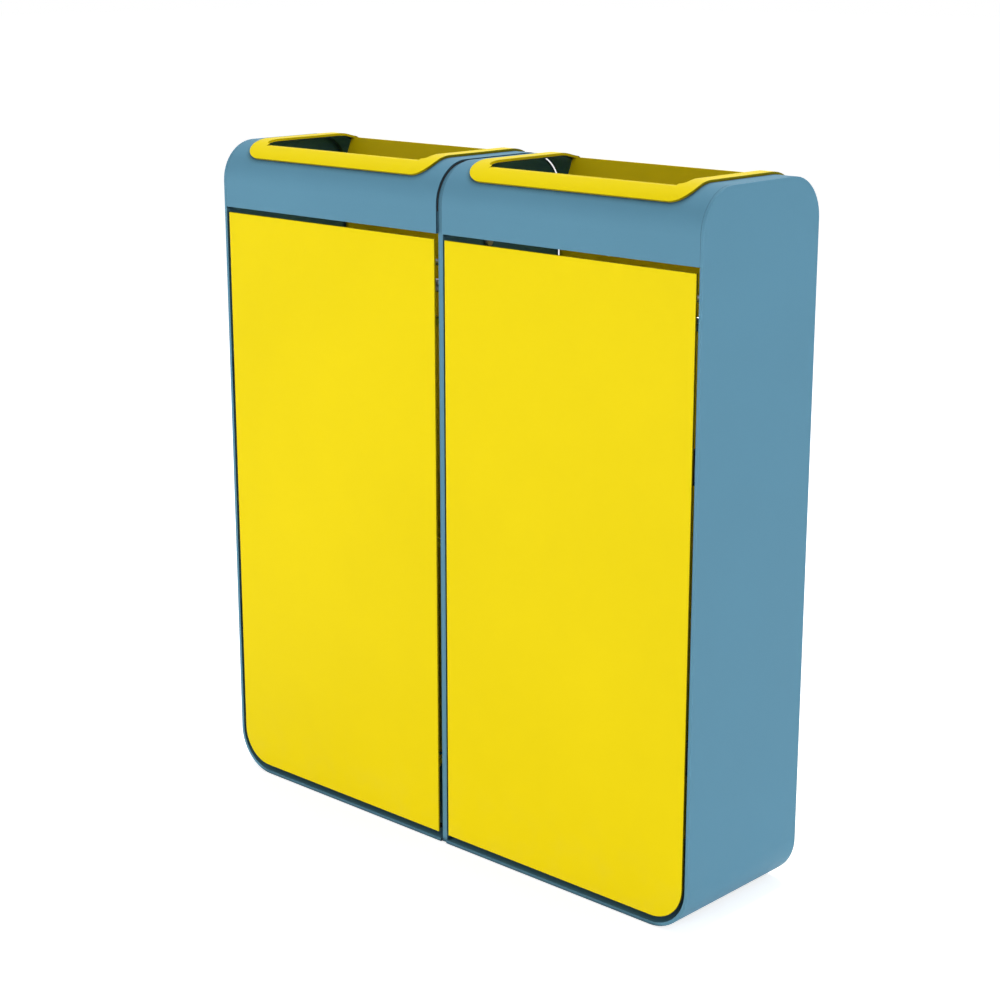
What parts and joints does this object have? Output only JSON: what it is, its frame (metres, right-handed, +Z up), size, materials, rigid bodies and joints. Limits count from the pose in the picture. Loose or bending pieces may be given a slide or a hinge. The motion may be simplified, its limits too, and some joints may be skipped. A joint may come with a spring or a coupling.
{
  "type": "double recycling bin",
  "caption": "Slim free-standing recycling bin: paired rounded steel cabinets with open top chutes, flush hinged doors and lift-up bag clamps inside.",
  "frame": {"origin": "middle of the footprint, on the floor under the rubber pads", "axes": "+Z up, the doors face -Y, +X to the right as seen from the front along the width of both cabinets"},
  "size_m": [0.9, 0.243, 0.9925],
  "materials": {
    "blue_paint": "matte powder coat, mid blue",
    "yellow_paint": "satin powder coat, strong yellow",
    "zinc_steel": "bright zinc plate",
    "black_plastic": "fine grain moulding",
    "bush_plastic": "natural acetal",
    "pad_rubber": "matte black rubber"
  },
  "bodies": {
    "cabinet": {"outer_shell_right": "blue_paint", "inner_side_panel_right": "blue_paint", "hood_right": "blue_paint", "hood_seal_right": "pad_rubber", "chute_bezel_right": "yellow_paint", "back_panel_right": "yellow_paint", "front_rail_right": "blue_paint", "rear_rail_right": "blue_paint", "back_cleats_right": "blue_paint", "magnet_catches_right": "black_plastic", "hinge_brackets_right": "yellow_paint", "hinge_bushes_right": "bush_plastic", "hinge_screws_right": "zinc_steel", "bag_ring_right": "zinc_steel", "ring_brackets_right": "blue_paint", "bail_brackets_right": "blue_paint", "bail_pins_right": "zinc_steel", "bezel_studs_right": "zinc_steel", "bezel_nuts_right": "zinc_steel", "hood_screws_right": "zinc_steel", "back_screws_right": "zinc_steel", "foot_pads_right": "pad_rubber", "outer_shell_left": "blue_paint", "inner_side_panel_left": "blue_paint", "hood_left": "blue_paint", "hood_seal_left": "pad_rubber", "chute_bezel_left": "yellow_paint", "back_panel_left": "yellow_paint", "front_rail_left": "blue_paint", "rear_rail_left": "blue_paint", "back_cleats_left": "blue_paint", "magnet_catches_left": "black_plastic", "hinge_brackets_left": "yellow_paint", "hinge_bushes_left": "bush_plastic", "hinge_screws_left": "zinc_steel", "bag_ring_left": "zinc_steel", "ring_brackets_left": "blue_paint", "bail_brackets_left": "blue_paint", "bail_pins_left": "zinc_steel", "bezel_studs_left": "zinc_steel", "bezel_nuts_left": "zinc_steel", "hood_screws_left": "zinc_steel", "back_screws_left": "zinc_steel", "foot_pads_left": "pad_rubber", "joining_bolts": "zinc_steel", "joining_nuts": "zinc_steel"},
    "door_right": {"door_skin_right": "yellow_paint", "door_stiffener_right": "yellow_paint", "strike_plates_right": "zinc_steel", "hinge_pins_right": "zinc_steel", "door_hinge_leaves_right": "yellow_paint"},
    "clamp_right": {"bag_bail_right": "zinc_steel"},
    "door_left": {"door_skin_left": "yellow_paint", "door_stiffener_left": "yellow_paint", "strike_plates_left": "zinc_steel", "hinge_pins_left": "zinc_steel", "door_hinge_leaves_left": "yellow_paint"},
    "clamp_left": {"bag_bail_left": "zinc_steel"}
  },
  "joints": [
    {"name": "door_hinge_right", "type": "hinge", "parent": "cabinet", "child": "door_right", "pos_m": [0.022, -0.1115, 0.45], "axis": [0, 0, -1], "range_deg": [0, 90]},
    {"name": "clamp_lift_right", "type": "hinge", "parent": "cabinet", "child": "clamp_right", "pos_m": [0.0294, 0.1, 0.8193], "axis": [-1, 0, 0], "range_deg": [0, 50]},
    {"name": "door_hinge_left", "type": "hinge", "parent": "cabinet", "child": "door_left", "pos_m": [-0.022, -0.1115, 0.45], "axis": [0, 0, 1], "range_deg": [0, 90]},
    {"name": "clamp_lift_left", "type": "hinge", "parent": "cabinet", "child": "clamp_left", "pos_m": [-0.0294, 0.1, 0.8193], "axis": [-1, 0, 0], "range_deg": [0, 50]}
  ]
}
